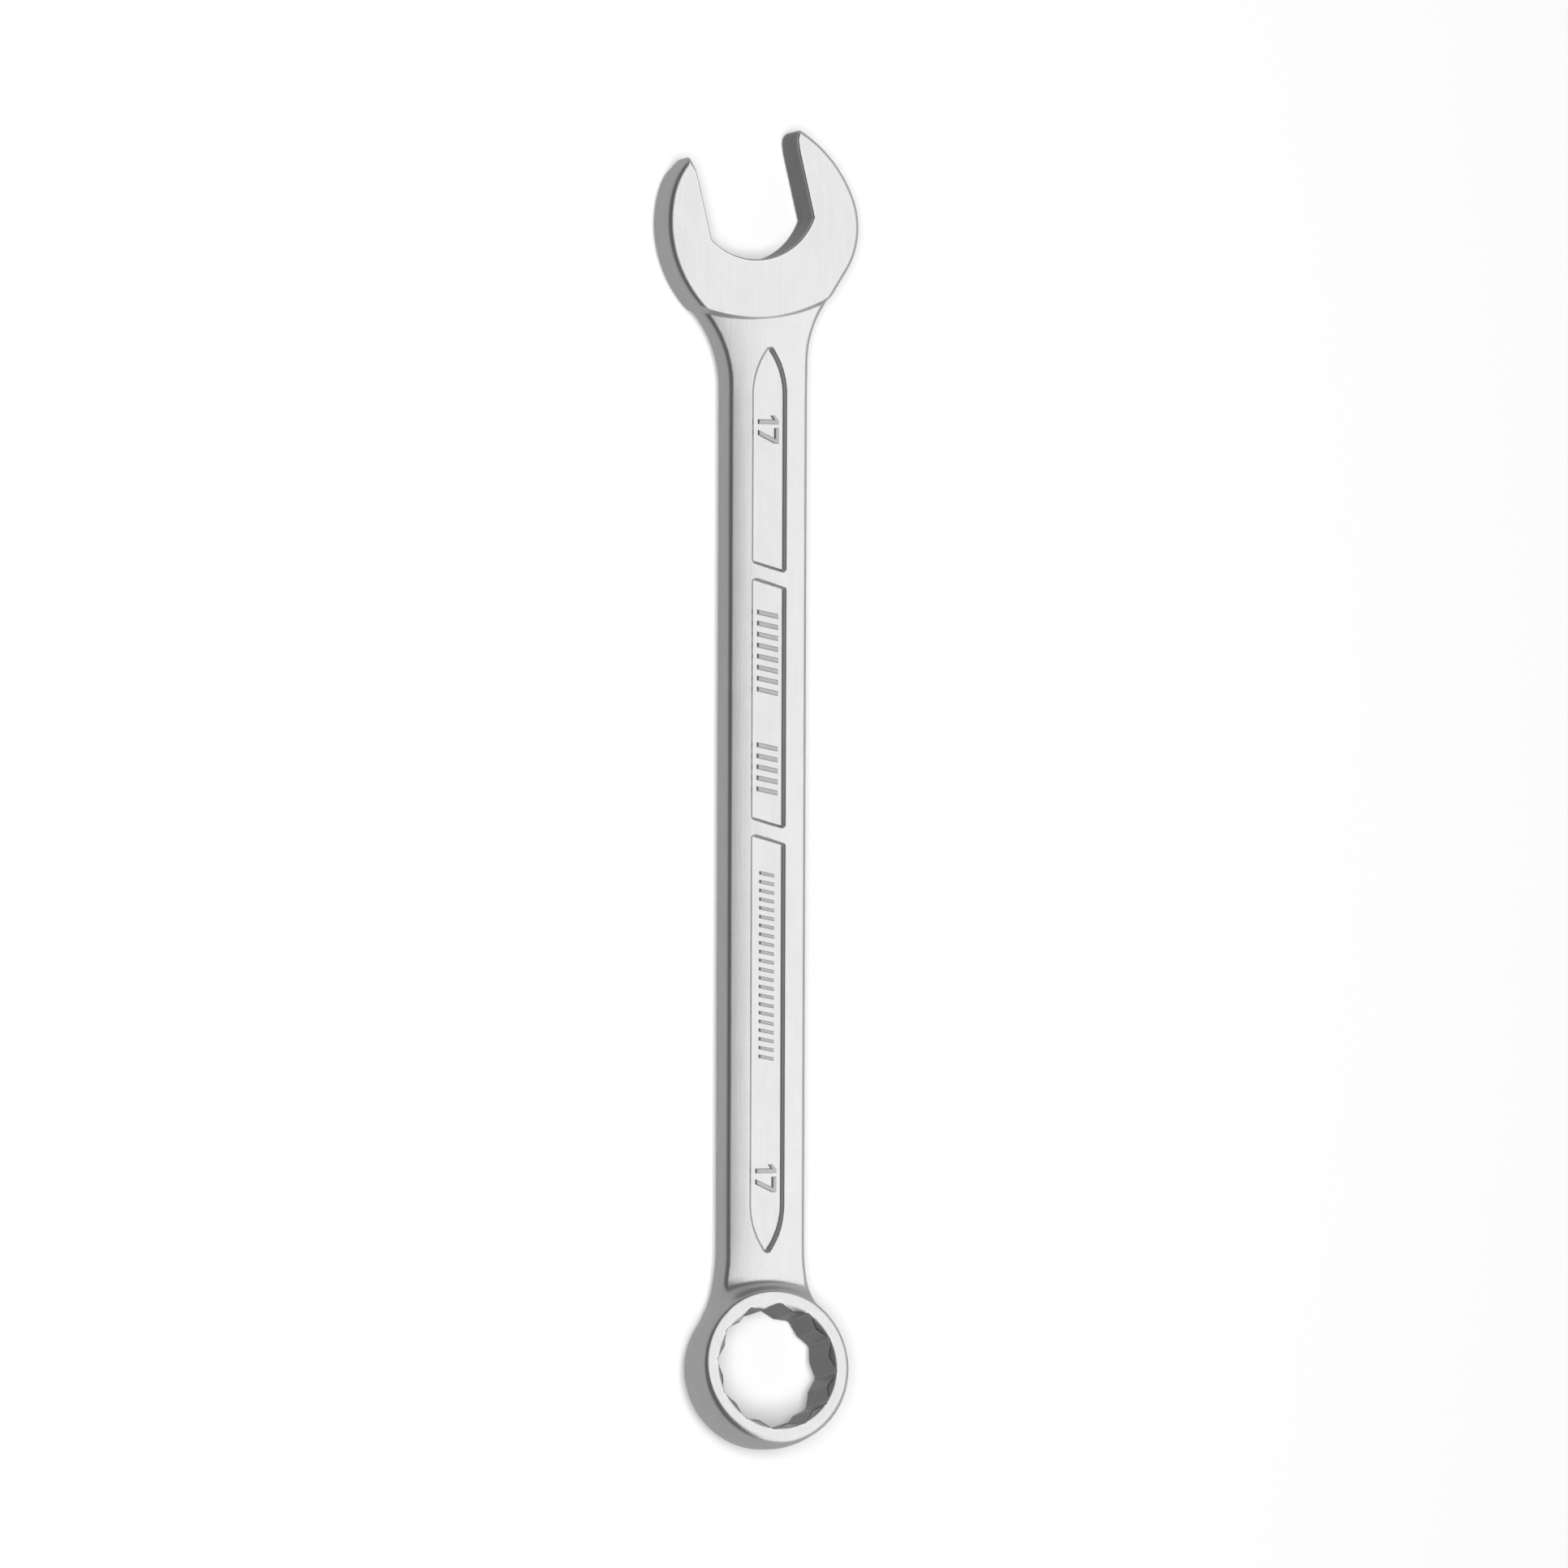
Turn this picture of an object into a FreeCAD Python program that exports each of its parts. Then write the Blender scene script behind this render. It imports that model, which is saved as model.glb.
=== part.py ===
import FreeCAD, Part
import math
import os
import Sketcher

# Combination wrench, 17 mm: an open jaw at one end and a twelve-point ring at the other, all one
# drop forging.  +X runs along the handle from the jaw to the ring, +Y across it and +Z up through
# its front face.  The blanks are drawn about the middle of the jaw head, on the centre line of the
# handle, and the finished zones are moved so that the origin is under the middle of the wrench.

SIZES = {
    # jaw head
    "jaw_gap": 17.2,
    "jaw_angle": 13.5,
    "jaw_pivot_x": 6.3,
    "throat_radius": 10.3,
    "throat_depth": 11.7,
    "throat_corner_radius": 1.0,
    "mouth_start": 4.2,
    "mouth_radius": 15.0,
    "mouth_length": 10.0,
    "tip_radius": 0.6,
    "head_thickness": 7.0,
    "head_edge_radius": 1.0,
    "head_base_radius": 27.0,
    "head_base_x": -12.7,
    "head_base_y": -3.3,
    "left_tip_y": -10.0,
    "right_tip_y": 1.0,
    "left_main_radius": 18.65,
    "left_main_x": -0.3,
    "left_main_y": 1.6,
    "left_upper_radius": 12.65,
    "left_upper_x": -1.6,
    "left_neck_radius": 16.9,
    "right_main_radius": 12.65,
    "right_main_x": -0.2,
    "right_main_y": 2.1,
    "right_upper_radius": 20.45,
    "right_upper_x": 2.7,
    "right_neck_radius": 15.5,
    "right_neck_x": 20.8,
    # handle
    "handle_width": 13.3,
    "handle_thickness": 6.1,
    "handle_crown_radius": 33.0,
    "handle_edge_radius": 0.75,
    "neck_crown_radius": 160.0,
    "ring_crown_radius": 90.0,
    "crown_start_x": 4.0,
    "crown_start_half_width": 18.0,
    "crown_even_x": 27.0,
    "crown_even_end_x": 156.0,
    "crown_even_half_width": 8.0,
    "crown_end_half_width": 14.0,
    # recess with its raised marks
    "recess_start_x": 18.7,
    "recess_length": 139.9,
    "recess_width": 5.7,
    "recess_depth": 0.6,
    "recess_taper": 45.0,
    "recess_point_length": 7.4,
    "rib_width": 2.2,
    "rib_angle": 15.5,
    "rib_one_x": 53.9,
    "rib_two_x": 93.5,
    "mark_height": 3.4,
    "mark_relief": 0.25,
    "mark_root": 0.1,
    "number_one_x": 31.4,
    "number_two_x": 147.2,
    "bars_one_x": 59.6,
    "bars_one_length": 13.8,
    "bars_two_x": 80.1,
    "bars_two_length": 7.8,
    "bar_width": 0.75,
    "bar_pitch": 1.7,
    "fine_bars_x": 99.9,
    "fine_bars_length": 29.5,
    "fine_bar_width": 0.55,
    "fine_bar_pitch": 1.35,
    "fine_bar_height": 2.4,
    # ring
    "ring_x": 176.65,
    "ring_lift": 3.05,
    "ring_tilt": 11.5,
    "ring_radius": 12.45,
    "ring_face_radius": 11.95,
    "ring_thickness": 9.6,
    "ring_edge_radius": 0.7,
    "ring_flare_radius": 20.0,
    "web_rim_radius": 11.9,
    "web_foot_radius": 15.1,
    "web_inset": 0.3,
    "web_drop": 3.6,
    "socket_flats": 17.1,
    "socket_turn": 7.0,
    "socket_lead_radius": 9.7,
    "socket_lead_depth": 0.8,
    # where the three named zones meet
    "head_zone_x": 16.3,
    "ring_zone_x": 160.6,
}

# Longer than the wrench is wide or thick, for what has to pass right through it.
THROUGH = 40.0


def make_sheet(doc):
    """The driving dimensions, one to a row, each with its alias."""
    sheet = doc.addObject("Spreadsheet::Sheet", "sizes")
    for row, (alias, value) in enumerate(SIZES.items(), 1):
        sheet.set("A%d" % row, alias)
        sheet.set("B%d" % row, str(value))
        sheet.setAlias("B%d" % row, alias)
    doc.recompute()
    return sheet


def plane(body, role):
    """One of the body's own origin planes."""
    return next(f for f in body.Origin.OriginFeatures if f.Role == role)


def new_body(doc, name):
    body = doc.addObject("PartDesign::Body", name)
    body.Label = name
    return body


def new_sketch(body, name, role="XY_Plane", offset=None):
    sketch = body.newObject("Sketcher::SketchObject", name)
    sketch.AttachmentSupport = [(plane(body, role), "")]
    sketch.MapMode = "FlatFace"
    if offset:
        sketch.setExpression(".AttachmentOffset.Base.z", offset)
    return sketch


def drive(sketch, constraint, expression):
    """Add a constraint and bind its value to the sheet."""
    index = sketch.addConstraint(constraint)
    sketch.setExpression("Constraints[%d]" % index, expression)


def place_centre(sketch, curve, x_size=None, y_size=None):
    """Drive the centre of an arc from the sketch's origin."""
    if x_size:
        drive(sketch, signed("DistanceX", sketch, curve), x_size)
    if y_size:
        drive(sketch, signed("DistanceY", sketch, curve), y_size)


def signed(kind, sketch, curve):
    centre = sketch.Geometry[curve].Center
    value = centre.x if kind == "DistanceX" else centre.y
    return Sketcher.Constraint(kind, -1, 1, curve, 3, value)


def vector(x, y, z=0.0):
    return FreeCAD.Vector(x, y, z)


def arc(centre, radius, start, end):
    """The counter-clockwise arc from the point start to the point end."""
    first = math.atan2(start.y - centre.y, start.x - centre.x)
    last = math.atan2(end.y - centre.y, end.x - centre.x)
    if last < first:
        last += 2 * math.pi
    return Part.ArcOfCircle(Part.Circle(centre, vector(0, 0, 1), radius), first, last)


def toward(start, end, distance):
    """The point at a distance from start, on the way to end."""
    return start + (end - start).normalize() * distance


START, END, CENTRE = 1, 2, 3


def outer_outline(body, name, size):
    """Plan outline of the whole forging: jaw head, necks and handle, up to the ring's wall.

    It runs counter-clockwise from the left jaw's tip; the necks and flares are concave, so those
    arcs are met end first.
    """
    half = size.handle_width / 2

    left_main = vector(size.left_main_x, size.left_main_y)
    step = size.left_main_radius - size.left_upper_radius
    across = size.left_main_x - size.left_upper_x
    left_upper = vector(size.left_upper_x, size.left_main_y - math.sqrt(step**2 - across**2))
    reach = size.left_main_radius + size.left_neck_radius
    drop = size.left_main_y + half + size.left_neck_radius
    left_neck = vector(left_main.x + math.sqrt(reach**2 - drop**2), -half - size.left_neck_radius)

    right_main = vector(size.right_main_x, size.right_main_y)
    step = size.right_upper_radius - size.right_main_radius
    across = size.right_upper_x - size.right_main_x
    right_upper = vector(size.right_upper_x, size.right_main_y - math.sqrt(step**2 - across**2))
    right_neck = vector(size.right_neck_x, half + size.right_neck_radius)
    span = right_neck - right_main
    swing = math.acos((size.right_main_radius + size.right_neck_radius) / span.Length)
    normal_angle = math.atan2(span.y, span.x) + swing
    normal = vector(math.cos(normal_angle), math.sin(normal_angle))

    ring = vector(size.ring_x + size.ring_lift * math.tan(math.radians(size.ring_tilt)), 0)
    reach = size.ring_flare_radius + size.ring_radius
    flare_drop = half + size.ring_flare_radius
    flare_x = ring.x - math.sqrt(reach**2 - flare_drop**2)
    left_flare = vector(flare_x, -flare_drop)
    right_flare = vector(flare_x, flare_drop)

    left_tip = on_circle_at_y(left_upper, size.left_upper_radius, size.left_tip_y)
    left_joint = toward(left_main, left_upper, size.left_main_radius)
    left_waist = toward(left_main, left_neck, size.left_main_radius)
    left_start = vector(left_neck.x, -half)
    left_end = vector(flare_x, -half)
    left_wall = toward(ring, left_flare, size.ring_radius)
    right_wall = toward(ring, right_flare, size.ring_radius)
    right_end = vector(flare_x, half)
    right_start = vector(right_neck.x, half)
    right_hip = right_neck - normal * size.right_neck_radius
    right_waist = right_main + normal * size.right_main_radius
    right_joint = toward(right_upper, right_main, size.right_upper_radius)
    right_tip = on_circle_at_y(right_upper, size.right_upper_radius, size.right_tip_y)

    sketch = new_sketch(body, name)
    curves = [
        arc(left_upper, size.left_upper_radius, left_tip, left_joint),
        arc(left_main, size.left_main_radius, left_joint, left_waist),
        arc(left_neck, size.left_neck_radius, left_start, left_waist),
        Part.LineSegment(left_start, left_end),
        arc(left_flare, size.ring_flare_radius, left_wall, left_end),
        Part.LineSegment(left_wall, right_wall),
        arc(right_flare, size.ring_flare_radius, right_end, right_wall),
        Part.LineSegment(right_end, right_start),
        arc(right_neck, size.right_neck_radius, right_hip, right_start),
        Part.LineSegment(right_hip, right_waist),
        arc(right_main, size.right_main_radius, right_waist, right_joint),
        arc(right_upper, size.right_upper_radius, right_joint, right_tip),
        Part.LineSegment(right_tip, left_tip),
    ]
    sketch.addGeometry(curves, False)
    (upper_l, main_l, neck_l, side_l, flare_l, wall, flare_r, side_r, neck_r, slope, main_r, upper_r,
     mouth) = range(len(curves))
    for first, first_end, second, second_end in (
        (upper_l, END, main_l, START),
        (main_l, END, neck_l, END),
        (neck_l, START, side_l, START),
        (side_l, END, flare_l, END),
        (flare_r, START, side_r, START),
        (side_r, END, neck_r, END),
        (neck_r, START, slope, START),
        (slope, END, main_r, START),
        (main_r, END, upper_r, START),
    ):
        sketch.addConstraint(Sketcher.Constraint("Tangent", first, first_end, second, second_end))
    for first, first_end, second, second_end in (
        (flare_l, START, wall, START),
        (wall, END, flare_r, END),
        (upper_r, END, mouth, START),
        (mouth, END, upper_l, START),
    ):
        sketch.addConstraint(Sketcher.Constraint("Coincident", first, first_end, second, second_end))
    sketch.addConstraint(Sketcher.Constraint("Horizontal", side_l))
    sketch.addConstraint(Sketcher.Constraint("Horizontal", side_r))
    sketch.addConstraint(Sketcher.Constraint("Symmetric", wall, START, wall, END, -1))
    for curve, alias in (
        (upper_l, "left_upper_radius"),
        (main_l, "left_main_radius"),
        (neck_l, "left_neck_radius"),
        (flare_l, "ring_flare_radius"),
        (flare_r, "ring_flare_radius"),
        (neck_r, "right_neck_radius"),
        (main_r, "right_main_radius"),
        (upper_r, "right_upper_radius"),
    ):
        drive(sketch, Sketcher.Constraint("Radius", curve, getattr(size, alias)), "sizes." + alias)
    place_centre(sketch, main_l, "sizes.left_main_x", "sizes.left_main_y")
    place_centre(sketch, upper_l, "sizes.left_upper_x")
    place_centre(sketch, main_r, "sizes.right_main_x", "sizes.right_main_y")
    place_centre(sketch, upper_r, "sizes.right_upper_x")
    place_centre(sketch, neck_r, "sizes.right_neck_x")
    for line, sign in ((side_l, -1), (side_r, 1)):
        edge = Sketcher.Constraint("DistanceY", -1, 1, line, START, sign * half)
        drive(sketch, edge, "%d * sizes.handle_width / 2" % sign)
    for end, side in ((END, "left"), (START, "right")):
        tip_y = getattr(size, side + "_tip_y")
        drive(sketch, Sketcher.Constraint("DistanceY", -1, 1, mouth, end, tip_y), "sizes.%s_tip_y" % side)
    bore = sketch.addGeometry(Part.Circle(ring, vector(0, 0, 1), size.ring_radius), True)
    sketch.addConstraint(Sketcher.Constraint("PointOnObject", bore, CENTRE, -1))
    drive(sketch, Sketcher.Constraint("Radius", bore, size.ring_radius), "sizes.ring_radius")
    centre = "sizes.ring_x + sizes.ring_lift * tan(sizes.ring_tilt * 1 deg)"
    drive(sketch, Sketcher.Constraint("DistanceX", -1, 1, bore, CENTRE, ring.x), centre)
    sketch.addConstraint(Sketcher.Constraint("Tangent", flare_l, START, bore))
    return sketch


def on_circle_at_y(centre, radius, y):
    """The point of a circle at height y, on its side towards the jaw's mouth."""
    return vector(centre.x - math.sqrt(radius**2 - (y - centre.y) ** 2), y)


def polygon(sketch, points):
    """Closed run of straight lines through the points, held where it is drawn."""
    for start, end in zip(points, points[1:] + points[:1]):
        line = sketch.addGeometry(Part.LineSegment(start, end), False)
        sketch.addConstraint(Sketcher.Constraint("Block", line))


def pad(body, name, sketch, length, symmetric=True):
    feature = body.newObject("PartDesign::Pad", name)
    feature.Profile = sketch
    feature.SideType = "Symmetric" if symmetric else "One side"
    feature.setExpression("Length", length)
    return feature


def cut_through(body, name, sketch):
    """Pocket that removes the sketch's area right through the body, both ways."""
    feature = body.newObject("PartDesign::Pocket", name)
    feature.Profile = sketch
    feature.SideType = "Symmetric"
    feature.Length = THROUGH
    return feature


def round_edges(body, name, base, radius, keep):
    """Fillet every edge of the base feature that keep() accepts."""
    edges = ["Edge%d" % i for i, edge in enumerate(base.Shape.Edges, 1) if keep(edge)]
    feature = body.newObject("PartDesign::Fillet", name)
    feature.Base = (base, edges)
    feature.setExpression("Radius", radius)
    return feature


def crown_section(body, name, x_alias, radius_alias, width_alias, size):
    """Cross-section of the crowned handle blank: shallow arcs above and below, straight sides."""
    half = size.handle_thickness / 2
    half_width = getattr(size, width_alias)
    radius = getattr(size, radius_alias)
    rise = radius - math.sqrt(radius**2 - half_width**2)
    sketch = new_sketch(body, name, "YZ_Plane", "sizes." + x_alias)
    low_left, low_right = vector(-half_width, rise - half), vector(half_width, rise - half)
    top_left, top_right = vector(-half_width, half - rise), vector(half_width, half - rise)
    bottom, right, top, left = sketch.addGeometry(
        [
            arc(vector(0, radius - half), radius, low_left, low_right),
            Part.LineSegment(low_right, top_right),
            arc(vector(0, half - radius), radius, top_right, top_left),
            Part.LineSegment(top_left, low_left),
        ],
        False,
    )
    for first, second in ((bottom, right), (right, top), (top, left), (left, bottom)):
        sketch.addConstraint(Sketcher.Constraint("Coincident", first, END, second, START))
    for curve in (bottom, top):
        drive(sketch, Sketcher.Constraint("Radius", curve, radius), "sizes." + radius_alias)
        sketch.addConstraint(Sketcher.Constraint("PointOnObject", curve, CENTRE, -2))
    for curve, sign in ((bottom, 1), (top, -1)):
        centre = Sketcher.Constraint("DistanceY", -1, 1, curve, CENTRE, sign * (radius - half))
        formula = "%d * (sizes.%s - sizes.handle_thickness / 2)" % (sign, radius_alias)
        drive(sketch, centre, formula)
    for line, sign in ((right, 1), (left, -1)):
        sketch.addConstraint(Sketcher.Constraint("Vertical", line))
        edge = Sketcher.Constraint("DistanceX", -1, 1, line, START, sign * half_width)
        drive(sketch, edge, "%d * sizes.%s" % (sign, width_alias))
    return sketch


def recess_outline(sketch, size):
    """Three sunk panels, pointed at both ends of the row and parted by two slanted ribs."""
    half = size.recess_width / 2
    length = size.recess_point_length
    point_radius = (length**2 + half**2) / (2 * half)
    first = size.recess_start_x
    last = first + size.recess_length
    slant = half * math.tan(math.radians(size.rib_angle))
    lean = vector(slant, half)
    panels = []
    for tip, shoulder, rib in (
        (first, first + length, size.rib_one_x - size.rib_width / 2),
        (last, last - length, size.rib_two_x + size.rib_width / 2),
    ):
        side = 1 if tip < shoulder else -1
        upper_centre = vector(shoulder, half - point_radius)
        lower_centre = vector(shoulder, point_radius - half)
        tip_point = vector(tip, 0)
        upper, lower = vector(shoulder, half), vector(shoulder, -half)
        rib_upper, rib_lower = vector(rib, 0) + lean, vector(rib, 0) - lean
        if side > 0:
            points = (arc(upper_centre, point_radius, upper, tip_point),
                      arc(lower_centre, point_radius, tip_point, lower))
        else:
            points = (arc(upper_centre, point_radius, tip_point, upper),
                      arc(lower_centre, point_radius, lower, tip_point))
        panels += list(points)
        panels += [
            Part.LineSegment(upper, rib_upper),
            Part.LineSegment(rib_upper, rib_lower),
            Part.LineSegment(rib_lower, lower),
        ]
    for curve in panels:
        index = sketch.addGeometry(curve, False)
        sketch.addConstraint(Sketcher.Constraint("Block", index))
    start = size.rib_one_x + size.rib_width / 2
    end = size.rib_two_x - size.rib_width / 2
    corners = [(start, 1), (start, -1), (end, -1), (end, 1)]
    polygon(sketch, [vector(x, 0) + lean * sign for x, sign in corners])


# Strokes of the size number, each glyph from its lower left corner in units of its height.
ONE = [(0.20, 0.0), (0.37, 0.0), (0.37, 1.0), (0.23, 1.0), (0.0, 0.80), (0.0, 0.63), (0.20, 0.76)]
SEVEN = [(0.12, 0.0), (0.31, 0.0), (0.70, 0.83), (0.70, 1.0), (0.0, 1.0), (0.0, 0.84), (0.50, 0.84)]
ONE_WIDTH, SEVEN_WIDTH, DIGIT_GAP = 0.42, 0.72, 0.14
BAR_SLANT = 0.2


def size_number(sketch, x, size):
    """The number 17, read along the handle, centred on x."""
    height = size.mark_height
    cursor = x - (ONE_WIDTH + DIGIT_GAP + SEVEN_WIDTH) * height / 2
    for outline, width in ((ONE, ONE_WIDTH), (SEVEN, SEVEN_WIDTH)):
        polygon(sketch, [vector(cursor + u * height, (v - 0.5) * height) for u, v in outline])
        cursor += (width + DIGIT_GAP) * height


def bars(sketch, first, length, pitch, width, height):
    """A row of plain slanted bars along the handle."""
    lean = BAR_SLANT * height / 2
    for i in range(int((length - width) / pitch) + 1):
        x = first + i * pitch
        polygon(sketch, [
            vector(x - lean, -height / 2),
            vector(x + width - lean, -height / 2),
            vector(x + width + lean, height / 2),
            vector(x + lean, height / 2),
        ])


def is_handle_edge(edge, size):
    """True for the long edges between the crowned faces and the side walls."""
    middle = edge.valueAt((edge.FirstParameter + edge.LastParameter) / 2)
    box = edge.BoundBox
    long = box.XLength > 2.0 and box.YLength < 3 * box.XLength
    on_face = abs(edge.CenterOfMass.z) > size.handle_thickness / 6
    off_axis = abs(middle.y) > size.recess_width / 2
    return long and on_face and off_axis and box.XMin > size.crown_start_x + 0.1


def crowned_handle(body, size):
    """Crowned blank cut to the plan outline, with its long edges rounded."""
    even = "crown_even_half_width"
    sections = [
        crown_section(body, "crown_in_head", "crown_start_x", "neck_crown_radius",
                      "crown_start_half_width", size),
        crown_section(body, "crown_at_neck", "crown_even_x", "handle_crown_radius", even, size),
        crown_section(body, "crown_at_ring", "crown_even_end_x", "handle_crown_radius", even, size),
        crown_section(body, "crown_in_ring", "ring_x", "ring_crown_radius",
                      "crown_end_half_width", size),
    ]
    crown = body.newObject("PartDesign::AdditiveLoft", "crown")
    crown.Profile = sections[0]
    crown.Sections = sections[1:]
    crown.Ruled = True

    around = outer_outline(body, "outside_of_plan", size)
    end = size.ring_x + THROUGH
    polygon(around, [vector(-THROUGH, -THROUGH), vector(end, -THROUGH), vector(end, THROUGH),
                     vector(-THROUGH, THROUGH)])
    plan = cut_through(body, "plan", around)
    body.Document.recompute()
    round_edges(body, "handle_edges", plan, "sizes.handle_edge_radius",
                lambda edge: is_handle_edge(edge, size))
    body.Document.recompute()


def handle_blank(doc, size):
    """Crowned handle with its recess and marks on both faces."""
    body = new_body(doc, "handle_blank")
    crowned_handle(body, size)

    recess_sketch = new_sketch(body, "recess_outline", offset="sizes.handle_thickness / 2")
    recess_outline(recess_sketch, size)
    recess = body.newObject("PartDesign::Pocket", "recess")
    recess.Profile = recess_sketch
    recess.setExpression("Length", "sizes.recess_depth")
    recess.setExpression("TaperAngle", "-sizes.recess_taper")
    doc.recompute()

    root = "sizes.handle_thickness / 2 - sizes.recess_depth - sizes.mark_root"
    marks_sketch = new_sketch(body, "marks_outline", offset=root)
    size_number(marks_sketch, size.number_one_x, size)
    size_number(marks_sketch, size.number_two_x, size)
    for x, length in ((size.bars_one_x, size.bars_one_length), (size.bars_two_x, size.bars_two_length)):
        bars(marks_sketch, x, length, size.bar_pitch, size.bar_width, size.mark_height)
    bars(marks_sketch, size.fine_bars_x, size.fine_bars_length, size.fine_bar_pitch,
         size.fine_bar_width, size.fine_bar_height)
    marks = pad(body, "marks", marks_sketch, "sizes.mark_relief + sizes.mark_root", symmetric=False)
    doc.recompute()

    both = body.newObject("PartDesign::PolarPattern", "both_faces")
    both.Originals = [recess, marks]
    both.Axis = (plane(body, "X_Axis"), [""])
    both.Angle = 360
    both.Occurrences = 2
    body.Tip = both
    doc.recompute()
    return body


def jaw_point(size, inward):
    """A point on the jaw's axis, so far inward from the pivot on the handle's centre line."""
    angle = math.radians(size.jaw_angle)
    return vector(size.jaw_pivot_x + inward * math.cos(angle), inward * math.sin(angle))


def head_blank(doc, size):
    """Flat jaw head, a little thicker than the handle, ending in an arc on the neck."""
    body = new_body(doc, "head_blank")
    outline = outer_outline(body, "plan_outline", size)
    base = pad(body, "plate", outline, "sizes.head_thickness")
    doc.recompute()

    for face, sign in (("front", 1), ("back", -1)):
        def is_rim(edge):
            box = edge.BoundBox
            on_face = box.ZLength < 0.01 and sign * edge.CenterOfMass.z > 1.0
            return on_face and box.XLength > 1.0 and box.XMax > size.left_tip_y
        base = round_edges(body, face + "_edges", base, "sizes.head_edge_radius", is_rim)
        doc.recompute()
    trim = new_sketch(body, "base_outline")
    base_outline(trim, size)
    cut_through(body, "base", trim)
    doc.recompute()
    return body


def base_outline(sketch, size):
    """Everything beyond the arc where the jaw head ends on the neck."""
    centre = vector(size.head_base_x, size.head_base_y)
    radius = size.head_base_radius
    end = size.ring_x + THROUGH
    half = radius * math.sin(math.radians(50))
    along = math.sqrt(radius**2 - half**2)
    low, high = centre + vector(along, -half), centre + vector(along, half)
    base, top, far, bottom = sketch.addGeometry(
        [
            arc(centre, radius, low, high),
            Part.LineSegment(high, vector(end, high.y)),
            Part.LineSegment(vector(end, high.y), vector(end, low.y)),
            Part.LineSegment(vector(end, low.y), low),
        ],
        False,
    )
    for first, first_end, second, second_end in (
        (base, END, top, START),
        (top, END, far, START),
        (far, END, bottom, START),
        (bottom, END, base, START),
    ):
        sketch.addConstraint(Sketcher.Constraint("Coincident", first, first_end, second, second_end))
    drive(sketch, Sketcher.Constraint("Radius", base, radius), "sizes.head_base_radius")
    place_centre(sketch, base, "sizes.head_base_x", "sizes.head_base_y")
    for line in (top, bottom):
        sketch.addConstraint(Sketcher.Constraint("Horizontal", line))
    sketch.addConstraint(Sketcher.Constraint("Vertical", far))
    sketch.addConstraint(Sketcher.Constraint("DistanceX", -1, 1, far, START, end))
    for line, y in ((top, high.y), (bottom, low.y)):
        sketch.addConstraint(Sketcher.Constraint("DistanceY", -1, 1, line, START, y))


def ring_placement(size):
    tilt = FreeCAD.Rotation(vector(0, 1, 0), -size.ring_tilt)
    return FreeCAD.Placement(vector(size.ring_x, 0, size.ring_lift), tilt)


def turned(body, name, points):
    """Solid of revolution about the body's Z axis, from a half section in its XZ plane."""
    section = new_sketch(body, name + "_section", "XZ_Plane")
    polygon(section, points)
    feature = body.newObject("PartDesign::Revolution", name)
    feature.Profile = section
    feature.ReferenceAxis = (plane(body, "Z_Axis"), [""])
    feature.Angle = 360
    return feature


def ring_blank(doc, size):
    """Solid barrel of the ring, fullest at its middle, tilted so that the handle clears the work."""
    body = new_body(doc, "ring_blank")
    face = size.ring_thickness / 2
    barrel = turned(body, "barrel", [
        vector(0, -face),
        vector(size.ring_face_radius, -face),
        vector(size.ring_radius, 0),
        vector(size.ring_face_radius, face),
        vector(0, face),
    ])
    doc.recompute()

    def is_rim(edge):
        box = edge.BoundBox
        return box.ZLength < 0.01 and abs(abs(edge.CenterOfMass.z) - face) < 0.01
    round_edges(body, "rims", barrel, "sizes.ring_edge_radius", is_rim)
    body.Placement = ring_placement(size)
    doc.recompute()
    return body


def web_blank(doc, size):
    """Sloping web between the handle's faces and the ring's, within the plan outline."""
    cone = new_body(doc, "web_cone")
    top = size.ring_thickness / 2 - size.web_inset
    foot = top - size.web_drop
    turned(cone, "slope", [
        vector(0, -top),
        vector(size.web_rim_radius, -top),
        vector(size.web_foot_radius, -foot),
        vector(size.web_foot_radius, foot),
        vector(size.web_rim_radius, top),
        vector(0, top),
    ])
    cone.Placement = ring_placement(size)
    plan = new_body(doc, "web_plan")
    pad(plan, "prism", outer_outline(plan, "plan_outline", size), "sizes.ring_thickness * 2")
    doc.recompute()
    return combine(doc, "Common", "web_blank", cone, plan)


def socket(doc, size):
    """Tool body for the twelve-point hole: two crossed hexagons, with a lead-in at each mouth."""
    body = new_body(doc, "socket")
    star = new_sketch(body, "points_outline")
    apothem = size.socket_flats / 2
    reach = (apothem / math.cos(math.radians(30)), apothem / math.cos(math.radians(15)))
    corners = []
    for i in range(24):
        angle = math.radians(15 * i - size.socket_turn)
        corners.append(vector(math.cos(angle), math.sin(angle)) * reach[i % 2])
    polygon(star, corners)
    pad(body, "points", star, "sizes.ring_thickness * 2")
    doc.recompute()
    face = size.ring_thickness / 2
    outer = size.socket_lead_radius
    leads = new_sketch(body, "leads_section", "XZ_Plane")
    for sign in (1, -1):
        polygon(leads, [
            vector(0, sign * (face - size.socket_lead_depth)),
            vector(apothem, sign * (face - size.socket_lead_depth)),
            vector(outer, sign * face),
            vector(outer, sign * 2 * face),
            vector(0, sign * 2 * face),
        ])
    cones = body.newObject("PartDesign::Revolution", "leads")
    cones.Profile = leads
    cones.ReferenceAxis = (plane(body, "Z_Axis"), [""])
    cones.Angle = 360
    body.Placement = ring_placement(size)
    doc.recompute()
    return body


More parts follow.
